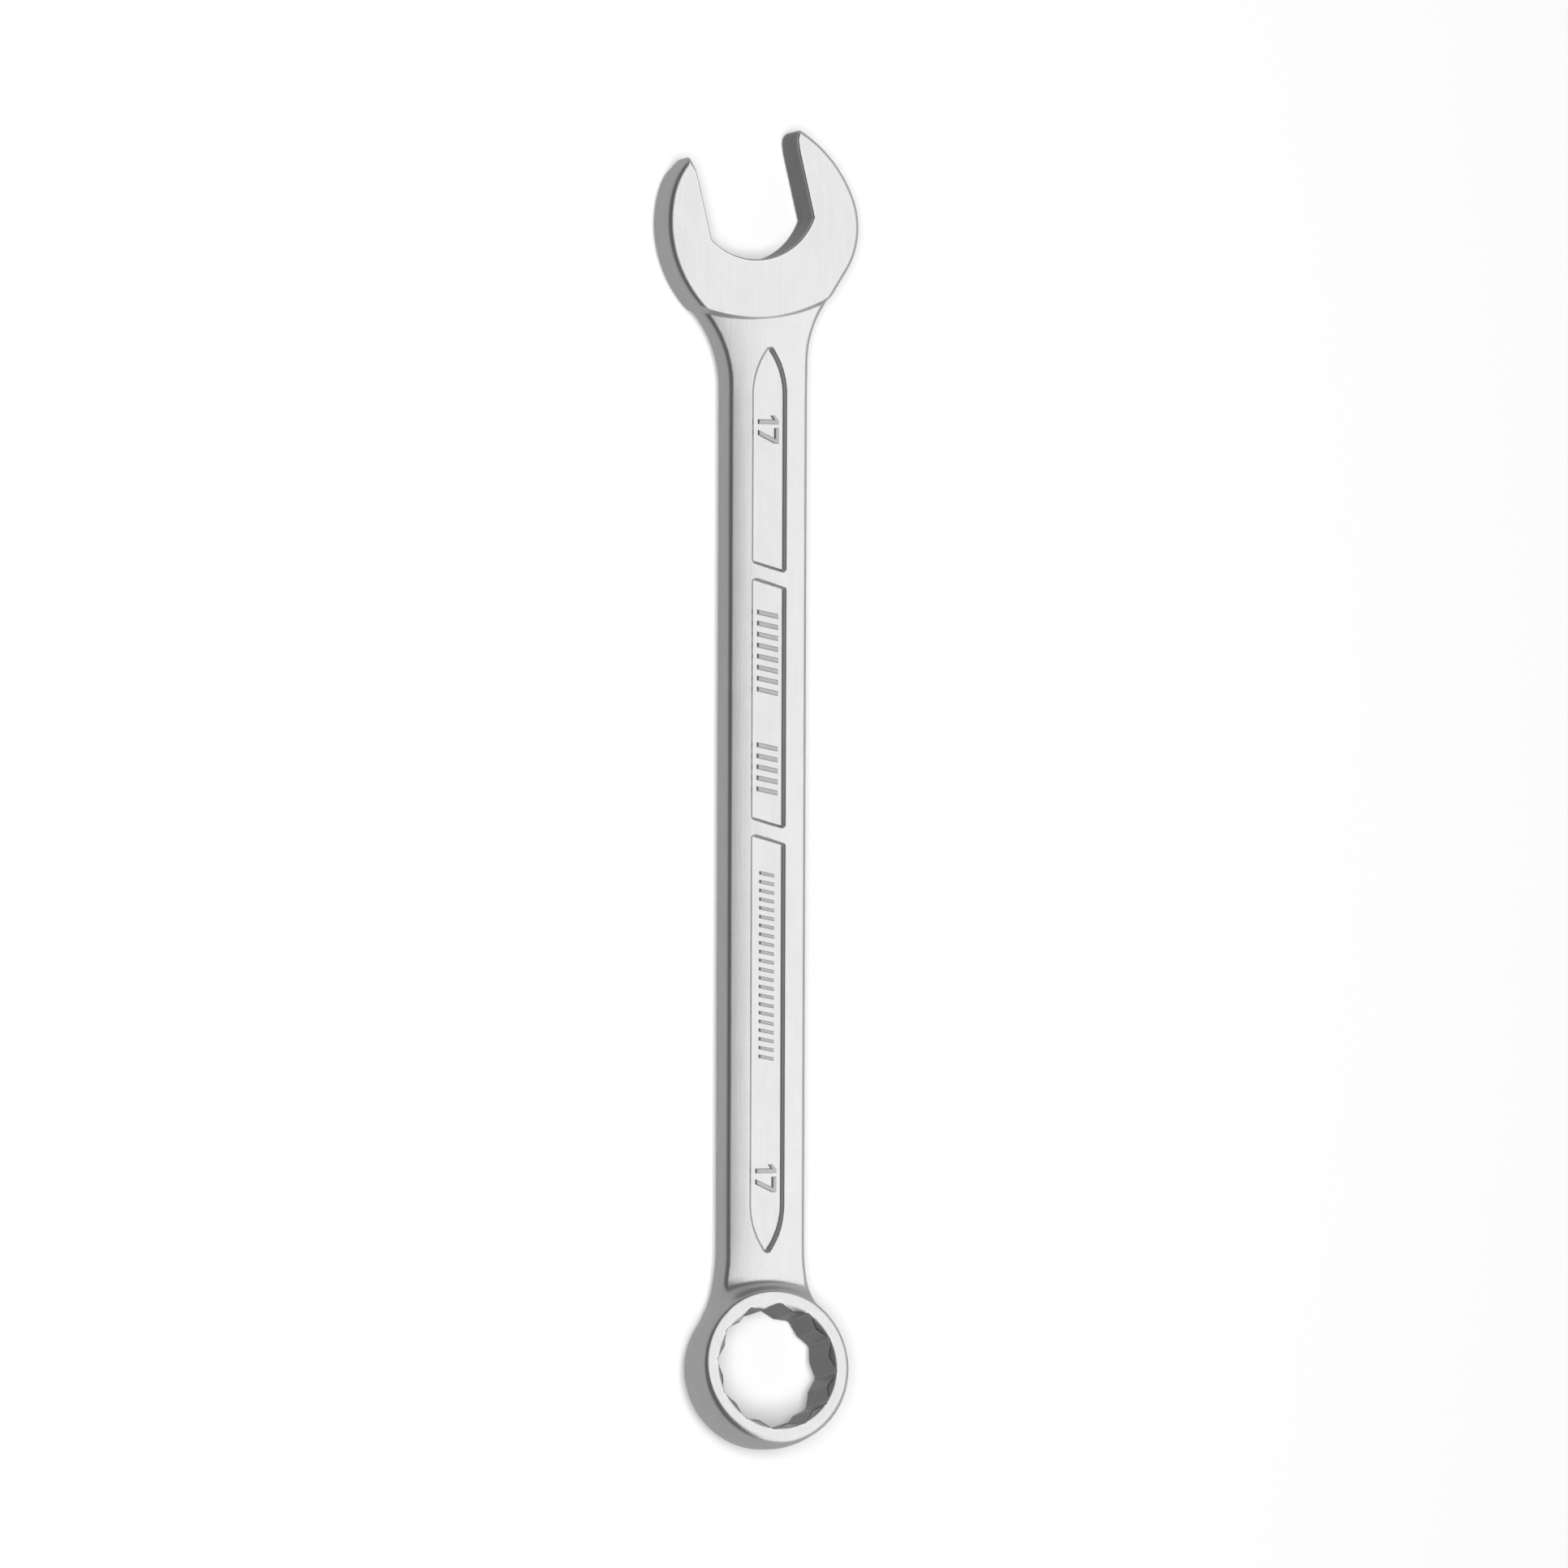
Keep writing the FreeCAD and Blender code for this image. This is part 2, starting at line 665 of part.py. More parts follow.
def jaw_opening(doc, size):
    """Tool body for the jaw: parallel walls, a round throat and eased mouths; +X is inward."""
    body = new_body(doc, "jaw_opening")
    half = size.jaw_gap / 2
    throat = size.throat_radius
    corner = math.sqrt(throat**2 - half**2)
    ease = math.sqrt(size.mouth_radius**2 - (size.mouth_length - size.mouth_start) ** 2)
    flare = half + size.mouth_radius - ease
    far = 2.5 * size.mouth_length
    sketch = new_sketch(body, "opening_outline")
    start, mouth = -size.mouth_start, -size.mouth_length
    points = {}
    for sign in (1, -1):
        points[sign] = [vector(corner, sign * half), vector(start, sign * half),
                        vector(mouth, sign * flare), vector(-far, sign * flare)]
    upper, lower = points[1], points[-1]
    upper_ease = vector(start, half + size.mouth_radius)
    lower_ease = vector(start, -half - size.mouth_radius)
    curves = sketch.addGeometry(
        [
            arc(vector(0, 0), throat, lower[0], upper[0]),
            Part.LineSegment(upper[0], upper[1]),
            arc(upper_ease, size.mouth_radius, upper[2], upper[1]),
            Part.LineSegment(upper[2], upper[3]),
            Part.LineSegment(upper[3], lower[3]),
            Part.LineSegment(lower[3], lower[2]),
            arc(lower_ease, size.mouth_radius, lower[1], lower[2]),
            Part.LineSegment(lower[1], lower[0]),
        ],
        False,
    )
    arch, wall_u, ease_u, out_u, end, out_l, ease_l, wall_l = curves
    for first, first_end, second, second_end in (
        (arch, END, wall_u, START),
        (ease_u, START, out_u, START),
        (out_u, END, end, START),
        (end, END, out_l, START),
        (out_l, END, ease_l, END),
        (wall_l, END, arch, START),
    ):
        sketch.addConstraint(Sketcher.Constraint("Coincident", first, first_end, second, second_end))
    sketch.addConstraint(Sketcher.Constraint("Tangent", wall_u, END, ease_u, END))
    sketch.addConstraint(Sketcher.Constraint("Tangent", ease_l, START, wall_l, START))
    sketch.addConstraint(Sketcher.Constraint("Coincident", arch, CENTRE, -1, 1))
    drive(sketch, Sketcher.Constraint("Radius", arch, throat), "sizes.throat_radius")
    for line, sign in ((wall_u, 1), (wall_l, -1)):
        sketch.addConstraint(Sketcher.Constraint("Horizontal", line))
        edge = Sketcher.Constraint("DistanceY", -1, 1, line, START, sign * half)
        drive(sketch, edge, "%d * sizes.jaw_gap / 2" % sign)
    for curve in (ease_u, ease_l):
        drive(sketch, Sketcher.Constraint("Radius", curve, size.mouth_radius), "sizes.mouth_radius")
        centre = Sketcher.Constraint("DistanceX", -1, 1, curve, CENTRE, start)
        drive(sketch, centre, "-sizes.mouth_start")
    for line in (out_u, out_l):
        sketch.addConstraint(Sketcher.Constraint("Horizontal", line))
    drive(sketch, Sketcher.Constraint("DistanceX", -1, 1, out_u, START, mouth), "-sizes.mouth_length")
    drive(sketch, Sketcher.Constraint("DistanceX", -1, 1, out_l, END, mouth), "-sizes.mouth_length")
    sketch.addConstraint(Sketcher.Constraint("Vertical", end))
    sketch.addConstraint(Sketcher.Constraint("DistanceX", -1, 1, end, START, -far))
    prism = pad(body, "prism", sketch, "sizes.head_thickness * 2")
    doc.recompute()

    def is_corner(edge):
        middle = edge.CenterOfMass
        return edge.BoundBox.ZLength > size.head_thickness and middle.x > 1.0
    round_edges(body, "throat_corners", prism, "sizes.throat_corner_radius", is_corner)
    centre = jaw_point(size, -size.throat_depth)
    body.Placement = FreeCAD.Placement(centre, FreeCAD.Rotation(vector(0, 0, 1), size.jaw_angle))
    doc.recompute()
    return body


def combine(doc, kind, name, base, tool):
    """Part boolean of two objects."""
    feature = doc.addObject("Part::" + kind, name)
    feature.Base = base
    feature.Tool = tool
    doc.recompute()
    return feature


def forging(doc, size):
    """The whole wrench as one solid: four blanks fused, socket and jaw cut, jaw tips eased."""
    blanks = doc.addObject("Part::MultiFuse", "blanks")
    blanks.Shapes = [make(doc, size) for make in (handle_blank, head_blank, web_blank, ring_blank)]
    doc.recompute()
    bored = combine(doc, "Cut", "bored", blanks, socket(doc, size))
    cut = combine(doc, "Cut", "jawed", bored, jaw_opening(doc, size))

    def is_tip(edge):
        return edge.BoundBox.XMax < -8.0 and edge.BoundBox.ZLength > size.head_thickness / 2
    tips = [i for i, edge in enumerate(cut.Shape.Edges, 1) if is_tip(edge)]
    eased = doc.addObject("Part::Fillet", "eased_tips")
    eased.Base = cut
    eased.Edges = [(i, size.tip_radius, size.tip_radius) for i in tips]
    doc.recompute()
    return eased


def zone(doc, name, whole, start, end):
    """The stretch of the forging between two stations along the handle."""
    block = doc.addObject("Part::Box", name + "_block")
    block.Placement.Base = vector(start, -THROUGH / 2, -THROUGH / 2)
    block.Length = end - start
    block.Width = THROUGH
    block.Height = THROUGH
    piece = combine(doc, "Common", name, whole, block)
    piece.Label = name
    return piece


class Sizes:
    """The sheet's values as attributes, for what is worked out here rather than by constraints."""

    def __init__(self, sheet):
        for alias in SIZES:
            setattr(self, alias, float(sheet.get(alias)))


def check(doc, pieces):
    """Stop before anything is written if a feature failed or a shape is not a valid solid."""
    for item in doc.Objects:
        if "Invalid" in item.State or "Error" in item.State:
            raise RuntimeError("%s is %s" % (item.Name, item.State))
    for piece in pieces:
        shape = piece.Shape
        if shape.isNull() or not shape.isValid() or len(shape.Solids) != 1:
            raise RuntimeError("%s is not one valid solid" % piece.Label)


def main():
    doc = FreeCAD.newDocument("combination_wrench")
    size = Sizes(make_sheet(doc))
    whole = forging(doc, size)
    box = whole.Shape.optimalBoundingBox(False)
    pieces = [
        zone(doc, "open_end", whole, box.XMin - 1, size.head_zone_x),
        zone(doc, "shank", whole, size.head_zone_x, size.ring_zone_x),
        zone(doc, "ring_end", whole, size.ring_zone_x, box.XMax + 1),
    ]
    origin = vector(box.Center.x, box.Center.y, box.ZMin)
    for piece in pieces:
        piece.Placement = FreeCAD.Placement(-origin, FreeCAD.Rotation())
    doc.recompute()
    check(doc, pieces)
    os.makedirs("parts", exist_ok=True)
    for piece in pieces:
        piece.Shape.exportStep("parts/%s.step" % piece.Label)
        print("%s: %.1f mm3" % (piece.Label, piece.Shape.Volume))
    print("origin at", origin)


main()
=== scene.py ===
import math

import bmesh
import bpy
import numpy as np
from mathutils import Matrix, Vector


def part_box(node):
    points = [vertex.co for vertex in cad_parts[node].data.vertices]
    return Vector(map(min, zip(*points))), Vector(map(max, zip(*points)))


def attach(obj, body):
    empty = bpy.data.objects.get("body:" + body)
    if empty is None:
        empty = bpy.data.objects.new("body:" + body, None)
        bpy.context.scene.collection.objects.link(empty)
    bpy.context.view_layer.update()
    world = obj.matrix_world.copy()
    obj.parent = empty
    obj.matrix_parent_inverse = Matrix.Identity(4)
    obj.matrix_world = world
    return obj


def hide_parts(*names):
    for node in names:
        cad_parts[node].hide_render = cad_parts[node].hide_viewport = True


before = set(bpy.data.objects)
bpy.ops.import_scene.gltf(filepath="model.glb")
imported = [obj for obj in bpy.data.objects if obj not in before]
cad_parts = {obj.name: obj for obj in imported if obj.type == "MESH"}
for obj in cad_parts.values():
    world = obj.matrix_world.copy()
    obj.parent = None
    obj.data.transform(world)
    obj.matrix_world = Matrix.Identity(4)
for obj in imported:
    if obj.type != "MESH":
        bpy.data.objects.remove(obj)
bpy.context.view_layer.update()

# A 17 mm combination wrench in satin chrome.  Its surface is worked out as one smooth forging and
# then cut into the frame's three zones.  Lengths are in millimetres in the forging's own frame: +X
# along the handle from the middle of the jaw head, +Z towards the front, z = 0 half way through
# the handle.  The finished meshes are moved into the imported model's frame, in metres.

MM = 0.001

# jaw head
JAW_GAP = 17.2
JAW_ANGLE = math.radians(13.5)
JAW_PIVOT_X = 6.3
THROAT_RADIUS = 10.3
THROAT_DEPTH = 11.7
MOUTH_START = 4.2
MOUTH_LENGTH = 10.0
MOUTH_RADIUS = 15.0
JAW_REACH = 25.0
HEAD_HALF = 3.5
HEAD_EDGE, HEAD_EDGE_FADE = 1.0, 8.0
HEAD_BASE = (-12.7, -3.3)
HEAD_BASE_RADIUS = 27.0
HEAD_STEP_WIDTH = 0.7
JAW_EDGE = 0.3
LEFT_TIP_ROUND, RIGHT_TIP_ROUND = 0.6, 1.15
FRONT_TIP_EDGE, BACK_TIP_EDGE, TIP_EDGE_FADE = 1.3, 2.9, 4.0
LEFT_TIP_START, RIGHT_TIP_START, TIP_LENGTH = 4.6, 6.3, 3.0
LEFT_MAIN, LEFT_MAIN_RADIUS = (-0.3, 1.6), 18.65
LEFT_UPPER_X, LEFT_UPPER_RADIUS = -1.6, 12.65
LEFT_NECK_RADIUS = 16.9
RIGHT_MAIN, RIGHT_MAIN_RADIUS = (-0.2, 2.1), 12.65
RIGHT_UPPER_X, RIGHT_UPPER_RADIUS = 2.7, 20.45
RIGHT_NECK_X, RIGHT_NECK_RADIUS = 20.8, 15.5
LEFT_TIP_Y, RIGHT_TIP_Y = -10.0, 1.0

# handle
HALF_WIDTH = 6.65
HALF_THICKNESS = 3.05
HANDLE_EDGE = 0.85
CROWN_RADII = ((4.0, 160.0), (27.0, 33.0), (156.0, 33.0), (176.65, 90.0))
RECESS_START, RECESS_END = 18.35, 158.95
RECESS_HALF = 2.85
RECESS_FLOOR = 2.45
RECESS_SLOPE = 1.9
RECESS_POINT = 7.75
RECESS_CORNER = 0.55
RECESS_FOOT_BLEND, RECESS_TOP_BLEND = 0.4, 0.35
RIB_XS, RIB_HALF = (53.9, 93.5), 1.1
RIB_SLANT = math.tan(math.radians(15.5))

# ring
RING_X, RING_LIFT = 176.65, 3.05
RING_TILT = math.radians(11.5)
RING_RADIUS, RING_FACE_RADIUS = 12.45, 11.95
RING_HALF = 4.8
RING_REACH = 10.0  # stretches that end this far before the ring's zone leave the ring out
NEAR_EDGE, FAR_EDGE = 0.8, 1.1
EDGE_FADE_START, EDGE_FADE = -2.0, 12.0
BARREL_EASE = 0.25
FLARE_START, FLARE_LENGTH = 161.0, 6.0
SOCKET_EDGE = 0.15
RING_FLARE = 20.0
WEB_RIM, WEB_FOOT = 11.5, 15.1
WEB_INSET, WEB_DROP = 0.3, 3.6
WEB_TOP_BLEND = 0.25
# blends of web with handle and of both with barrel: on the back, and what the front adds
WEB_BLEND, FRONT_WEB_BLEND = 0.1, 1.1
BARREL_BLEND, FRONT_BARREL_BLEND = 0.2, 0.3
FRONT_FADE = 2.0
SOCKET_HALF = 8.55
SOCKET_TURN = math.radians(7.0)
LEAD_RADIUS, LEAD_DEPTH = 9.7, 0.8

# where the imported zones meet
HEAD_ZONE_END, RING_ZONE_START = 16.3, 160.6


# ---- plane outlines: distance to them, negative inside ----

ARC_STEP = math.radians(8)


def smooth_step(t):
    """Rises from 0 to 1 as t does, level at both ends."""
    t = np.clip(t, 0.0, 1.0)
    return t * t * (3.0 - 2.0 * t)


def within(angle, start, sweep):
    """True where an angle lies in the counter-clockwise sweep from start."""
    return (angle - start) % (2 * math.pi) <= sweep


class Line:
    """Straight run of an outline."""

    def __init__(self, start, end):
        self.start, self.end = np.array(start, float), np.array(end, float)

    def distance(self, x, y):
        """Distance to the line, and 0, because it doesn't know on which side the solid is."""
        run = self.end - self.start
        along = ((x - self.start[0]) * run[0] + (y - self.start[1]) * run[1]) / run.dot(run)
        along = np.clip(along, 0.0, 1.0)
        gap_x = x - self.start[0] - along * run[0]
        gap_y = y - self.start[1] - along * run[1]
        return np.hypot(gap_x, gap_y), 0.0

    def points(self):
        return [self.start, self.end]


class Arc:
    """Counter-clockwise arc; solid is 1 where the material is on its centre's side, else -1."""

    def __init__(self, centre, radius, start, end, solid=1):
        self.centre, self.radius, self.solid = np.array(centre, float), radius, solid
        self.start, self.end = np.array(start, float), np.array(end, float)
        self.first = math.atan2(start[1] - centre[1], start[0] - centre[0])
        last = math.atan2(end[1] - centre[1], end[0] - centre[0])
        self.sweep = (last - self.first) % (2 * math.pi)

    def at(self, share):
        angle = self.first + share * self.sweep
        return self.centre + self.radius * np.array((math.cos(angle), math.sin(angle)))

    def distance(self, x, y):
        """Distance to the arc, and the side of it that the point is on, or 0 past its ends."""
        out_x, out_y = x - self.centre[0], y - self.centre[1]
        rise = np.hypot(out_x, out_y) - self.radius
        beside = within(np.arctan2(out_y, out_x), self.first, self.sweep)
        (start_x, start_y), (end_x, end_y) = self.start, self.end
        to_ends = np.minimum(np.hypot(x - start_x, y - start_y), np.hypot(x - end_x, y - end_y))
        side = np.where(beside, np.sign(rise) * self.solid, 0)
        return np.where(beside, np.abs(rise), to_ends), side

    def points(self):
        count = 1 + int(self.sweep / ARC_STEP)
        return [self.start] + [self.at(i / count) for i in range(1, count)] + [self.end]


def is_inside(x, y, curves):
    """Even-odd test against straight runs along the curves."""
    odd = np.zeros(np.broadcast(x, y).shape, bool)
    for curve in curves:
        points = curve.points()
        for (ax, ay), (bx, by) in zip(points, points[1:]):
            if ay != by:
                odd ^= ((ay > y) != (by > y)) & (x < ax + (y - ay) * (bx - ax) / (by - ay))
    return odd


def outline_distance(x, y, curves):
    """Signed distance to a closed outline."""
    best = np.full(np.broadcast(x, y).shape, np.inf)
    side = np.zeros(best.shape)
    for curve in curves:
        gap, sign = curve.distance(x, y)
        nearer = gap < best
        best = np.where(nearer, gap, best)
        side = np.where(nearer, sign, side)
    side = np.where(side == 0, np.where(is_inside(x, y, curves), -1.0, 1.0), side)
    return best * side


def toward(start, end, distance):
    """The point at a distance from start on the way to end."""
    run = np.subtract(end, start)
    return np.add(start, run * distance / np.hypot(*run))


def on_circle(centre, radius, y):
    """The point of a circle at height y, on the side of the jaw's mouth."""
    return np.array((centre[0] - math.sqrt(radius**2 - (y - centre[1]) ** 2), y))


def upper_centre(main, main_radius, x, radius):
    """Centre, at x, of the arc that carries on smoothly from the main arc towards the jaw's tip."""
    return np.array((x, main[1] - math.sqrt((main_radius - radius) ** 2 - (main[0] - x) ** 2)))


def plan_outline():
    """The forging seen from the front: jaw head, necks, handle, and flares that meet the ring."""
    left_upper = upper_centre(LEFT_MAIN, LEFT_MAIN_RADIUS, LEFT_UPPER_X, LEFT_UPPER_RADIUS)
    left_neck_y = -HALF_WIDTH - LEFT_NECK_RADIUS
    reach, drop = LEFT_MAIN_RADIUS + LEFT_NECK_RADIUS, LEFT_MAIN[1] - left_neck_y
    left_neck = np.array((LEFT_MAIN[0] + math.sqrt(reach**2 - drop**2), left_neck_y))
    right_upper = upper_centre(RIGHT_MAIN, RIGHT_MAIN_RADIUS, RIGHT_UPPER_X, RIGHT_UPPER_RADIUS)
    right_neck = np.array((RIGHT_NECK_X, HALF_WIDTH + RIGHT_NECK_RADIUS))
    span = right_neck - RIGHT_MAIN
    swing = math.acos((RIGHT_MAIN_RADIUS + RIGHT_NECK_RADIUS) / np.hypot(*span))
    slope = math.atan2(span[1], span[0]) + swing
    normal = np.array((math.cos(slope), math.sin(slope)))

    ring = np.array((RING_X + RING_LIFT * math.tan(RING_TILT), 0.0))
    flare_y = HALF_WIDTH + RING_FLARE
    flare_x = ring[0] - math.sqrt((RING_FLARE + RING_RADIUS) ** 2 - flare_y**2)
    left_flare, right_flare = (flare_x, -flare_y), (flare_x, flare_y)

    left_tip = on_circle(left_upper, LEFT_UPPER_RADIUS, LEFT_TIP_Y)
    left_joint = toward(LEFT_MAIN, left_upper, LEFT_MAIN_RADIUS)
    left_waist = toward(LEFT_MAIN, left_neck, LEFT_MAIN_RADIUS)
    left_start, left_end = (left_neck[0], -HALF_WIDTH), (flare_x, -HALF_WIDTH)
    left_wall = toward(ring, left_flare, RING_RADIUS)
    right_wall = toward(ring, right_flare, RING_RADIUS)
    right_end, right_start = (flare_x, HALF_WIDTH), (RIGHT_NECK_X, HALF_WIDTH)
    right_hip = right_neck - normal * RIGHT_NECK_RADIUS
    right_waist = RIGHT_MAIN + normal * RIGHT_MAIN_RADIUS
    right_joint = toward(right_upper, RIGHT_MAIN, RIGHT_UPPER_RADIUS)
    right_tip = on_circle(right_upper, RIGHT_UPPER_RADIUS, RIGHT_TIP_Y)
    return [
        Arc(left_upper, LEFT_UPPER_RADIUS, left_tip, left_joint),
        Arc(LEFT_MAIN, LEFT_MAIN_RADIUS, left_joint, left_waist),
        Arc(left_neck, LEFT_NECK_RADIUS, left_start, left_waist, -1),
        Line(left_start, left_end),
        Arc(left_flare, RING_FLARE, left_wall, left_end, -1),
        Line(left_wall, right_wall),
        Arc(right_flare, RING_FLARE, right_end, right_wall, -1),
        Line(right_end, right_start),
        Arc(right_neck, RIGHT_NECK_RADIUS, right_hip, right_start, -1),
        Line(right_hip, right_waist),
        Arc(RIGHT_MAIN, RIGHT_MAIN_RADIUS, right_waist, right_joint),
        Arc(right_upper, RIGHT_UPPER_RADIUS, right_joint, right_tip),
        Line(right_tip, left_tip),
    ]


def jaw_outline():
    """The jaw's opening about the middle of its throat, with +X inward along the jaw."""
    half = JAW_GAP / 2
    corner = math.sqrt(THROAT_RADIUS**2 - half**2)
    ease = half + MOUTH_RADIUS
    flare = ease - math.sqrt(MOUTH_RADIUS**2 - (MOUTH_LENGTH - MOUTH_START) ** 2)
    left_start, left_end = (-MOUTH_START, -half), (-MOUTH_LENGTH, -flare)
    right_start, right_end = (-MOUTH_START, half), (-MOUTH_LENGTH, flare)
    left_far, right_far = (-JAW_REACH, -flare), (-JAW_REACH, flare)
    return [
        Arc((0, 0), THROAT_RADIUS, (corner, -half), (corner, half)),
        Line((corner, half), right_start),
        Arc((-MOUTH_START, ease), MOUTH_RADIUS, right_end, right_start, -1),
        Line(right_end, right_far),
        Line(right_far, left_far),
        Line(left_far, left_end),
        Arc((-MOUTH_START, -ease), MOUTH_RADIUS, left_start, left_end, -1),
        Line(left_start, (corner, -half)),
    ]


def recess_panels():
    """Three sunk panels: pointed at both ends of the row and parted by two slanted ribs.

    The outlines are drawn smaller by the radius of their corners, for the field to grow again.
    """
    full_radius = (RECESS_POINT**2 + RECESS_HALF**2) / (2 * RECESS_HALF)
    point_radius, half = full_radius - RECESS_CORNER, RECESS_HALF - RECESS_CORNER
    point = math.sqrt(point_radius**2 - (point_radius - half) ** 2)
    lean = np.array((half * RIB_SLANT, half))
    first_rib, second_rib = np.array((RIB_XS[0], 0.0)), np.array((RIB_XS[1], 0.0))
    rib_half = np.array((RIB_HALF + RECESS_CORNER * math.hypot(1.0, RIB_SLANT), 0.0))
    panels = []
    for shoulder, way, rib in (
        (RECESS_START + RECESS_POINT, -1, first_rib - rib_half),
        (RECESS_END - RECESS_POINT, 1, second_rib + rib_half),
    ):
        upper, lower, tip = (shoulder, half), (shoulder, -half), (shoulder + way * point, 0.0)
        over, under = (shoulder, half - point_radius), (shoulder, point_radius - half)
        if way < 0:
            ends = [Arc(over, point_radius, upper, tip), Arc(under, point_radius, tip, lower)]
        else:
            ends = [Arc(over, point_radius, tip, upper), Arc(under, point_radius, lower, tip)]
        panels.append(ends + [Line(upper, rib + lean), Line(rib + lean, rib - lean),
                              Line(rib - lean, lower)])
    corners = [first_rib + rib_half + lean, first_rib + rib_half - lean,
               second_rib - rib_half - lean, second_rib - rib_half + lean]
    panels.append([Line(a, b) for a, b in zip(corners, corners[1:] + corners[:1])])
    return panels


PLAN = plan_outline()
JAW = jaw_outline()
PANELS = recess_panels()


# ---- the forging as a field: distance to its surface, negative inside ----

def smooth_min(a, b, width):
    """The lesser of two values, with the change from one to the other blended over a width."""
    blend = np.clip(0.5 + 0.5 * (b - a) / width, 0.0, 1.0)
    return b + (a - b) * blend - width * blend * (1.0 - blend)


def smooth_max(a, b, width):
    return -smooth_min(-a, -b, width)


def round_meet(a, b, radius):
    """What is inside both, with the edge between them rounded to a radius."""
    corner = np.hypot(np.maximum(a + radius, 0.0), np.maximum(b + radius, 0.0))
    return np.minimum(-radius, np.maximum(a, b)) + corner


def crown(x, y):
    """Half thickness of the crowned handle."""
    stations, radii = zip(*CROWN_RADII)
    curvature = np.interp(x, stations, [1.0 / radius for radius in radii])
    return HALF_THICKNESS - curvature * y * y / 2


def recessed(x, y):
    """Half thickness of the handle with its sunk panels."""
    depth = RECESS_CORNER - np.minimum.reduce([outline_distance(x, y, panel) for panel in PANELS])
    floor, wall = np.full(depth.shape, RECESS_FLOOR), HALF_THICKNESS - RECESS_SLOPE * depth
    return smooth_min(crown(x, y), smooth_max(floor, wall, RECESS_FOOT_BLEND), RECESS_TOP_BLEND)


def height(x, y, z):
    """Half thickness of handle and head; the back's panels are the front's, turned about X."""
    front, back = recessed(x, y), recessed(x, -y)
    handle = np.where(z > 0, front, back)
    to_base = np.hypot(x - HEAD_BASE[0], y - HEAD_BASE[1]) - HEAD_BASE_RADIUS
    share = smooth_step(0.5 - to_base / HEAD_STEP_WIDTH)
    return handle + (HEAD_HALF - handle) * share


def jaw_place(x, y):
    """Where a point is about the middle of the throat: along the jaw, inward, and across it."""
    cos, sin = math.cos(JAW_ANGLE), math.sin(JAW_ANGLE)
    out_x = x - (JAW_PIVOT_X - THROAT_DEPTH * cos)
    out_y = y + THROAT_DEPTH * sin
    return out_x * cos + out_y * sin, out_y * cos - out_x * sin


def star_distance(x, y):
    """Distance to the twelve-point outline, two crossed hexagons."""
    sector = math.radians(30)
    angle = np.abs((np.arctan2(y, x) + SOCKET_TURN + sector / 2) % sector - sector / 2)
    radius = np.hypot(x, y)
    return radius * np.cos(sector - angle) - SOCKET_HALF


def ring_place(x, z):
    """Where a point is in the tilted ring: along it, away from the handle, and above its middle."""
    cos, sin = math.cos(RING_TILT), math.sin(RING_TILT)
    out_x, out_z = x - RING_X, z - RING_LIFT
    return out_x * cos + out_z * sin, out_z * cos - out_x * sin


def socket_distance(along, across, level):
    """Distance to the twelve-point hole with its lead-in at each mouth."""
    lead_run = LEAD_RADIUS - SOCKET_HALF
    lead = (np.hypot(along, across) - LEAD_RADIUS) * LEAD_DEPTH
    lead = (lead - (np.abs(level) - RING_HALF) * lead_run) / math.hypot(lead_run, LEAD_DEPTH)
    star = np.maximum(star_distance(along, across), np.hypot(along, across) - LEAD_RADIUS)
    return np.minimum(star, lead)


def wrench(x, y, z):
    """The whole forging."""
    plan = outline_distance(x, y, PLAN)
    slab = np.abs(z) - height(x, y, z)
    in_head = smooth_step((HEAD_ZONE_END - x) / HEAD_EDGE_FADE)
    edge = HANDLE_EDGE + (HEAD_EDGE - HANDLE_EDGE) * in_head
    if np.max(x) < RING_ZONE_START - RING_REACH:
        solid = round_meet(slab, plan, edge)
        if np.min(x) < HEAD_ZONE_END:
            inward, across = jaw_place(x, y)
            tip_round = np.where(across < 0, LEFT_TIP_ROUND, RIGHT_TIP_ROUND)
            tips = round_meet(plan, -outline_distance(inward, across, JAW), tip_round)
            tip_start = np.where(across < 0, LEFT_TIP_START, RIGHT_TIP_START)
            at_tip = smooth_step((-inward - tip_start) / TIP_LENGTH)
            is_back = smooth_step(0.5 - z / TIP_EDGE_FADE)
            tip_edge = FRONT_TIP_EDGE + (BACK_TIP_EDGE - FRONT_TIP_EDGE) * is_back
            jaw_edge = JAW_EDGE + at_tip * (tip_edge - JAW_EDGE)
            solid = np.maximum(solid, round_meet(slab, tips, jaw_edge))
        return solid
    along, level = ring_place(x, z)
    radius = np.hypot(along, y)
    web_top = RING_HALF - WEB_INSET
    run = WEB_FOOT - WEB_RIM
    steep = math.hypot(run, WEB_DROP)
    slope = ((radius - WEB_RIM) * WEB_DROP + (np.abs(level) - web_top) * run) / steep
    web = smooth_max(slope, np.abs(level) - web_top, WEB_TOP_BLEND)
    front = smooth_step(0.5 + level / FRONT_FADE)
    taper = (RING_RADIUS - RING_FACE_RADIUS) * np.hypot(level / RING_HALF, BARREL_EASE)
    flank = plan + taper * smooth_step((x - FLARE_START) / FLARE_LENGTH)
    webbed = smooth_min(slab, web, WEB_BLEND + FRONT_WEB_BLEND * front)
    handle = round_meet(webbed, flank, edge)
    wall = radius - RING_RADIUS + taper
    is_far = smooth_step((along - EDGE_FADE_START) / EDGE_FADE)
    edge_radius = NEAR_EDGE + (FAR_EDGE - NEAR_EDGE) * is_far
    barrel = round_meet(wall, np.abs(level) - RING_HALF, edge_radius)
    solid = smooth_min(handle, barrel, BARREL_BLEND + FRONT_BARREL_BLEND * front)
    return round_meet(solid, -socket_distance(along, y, level), SOCKET_EDGE)


# ---- meshes from the field ----

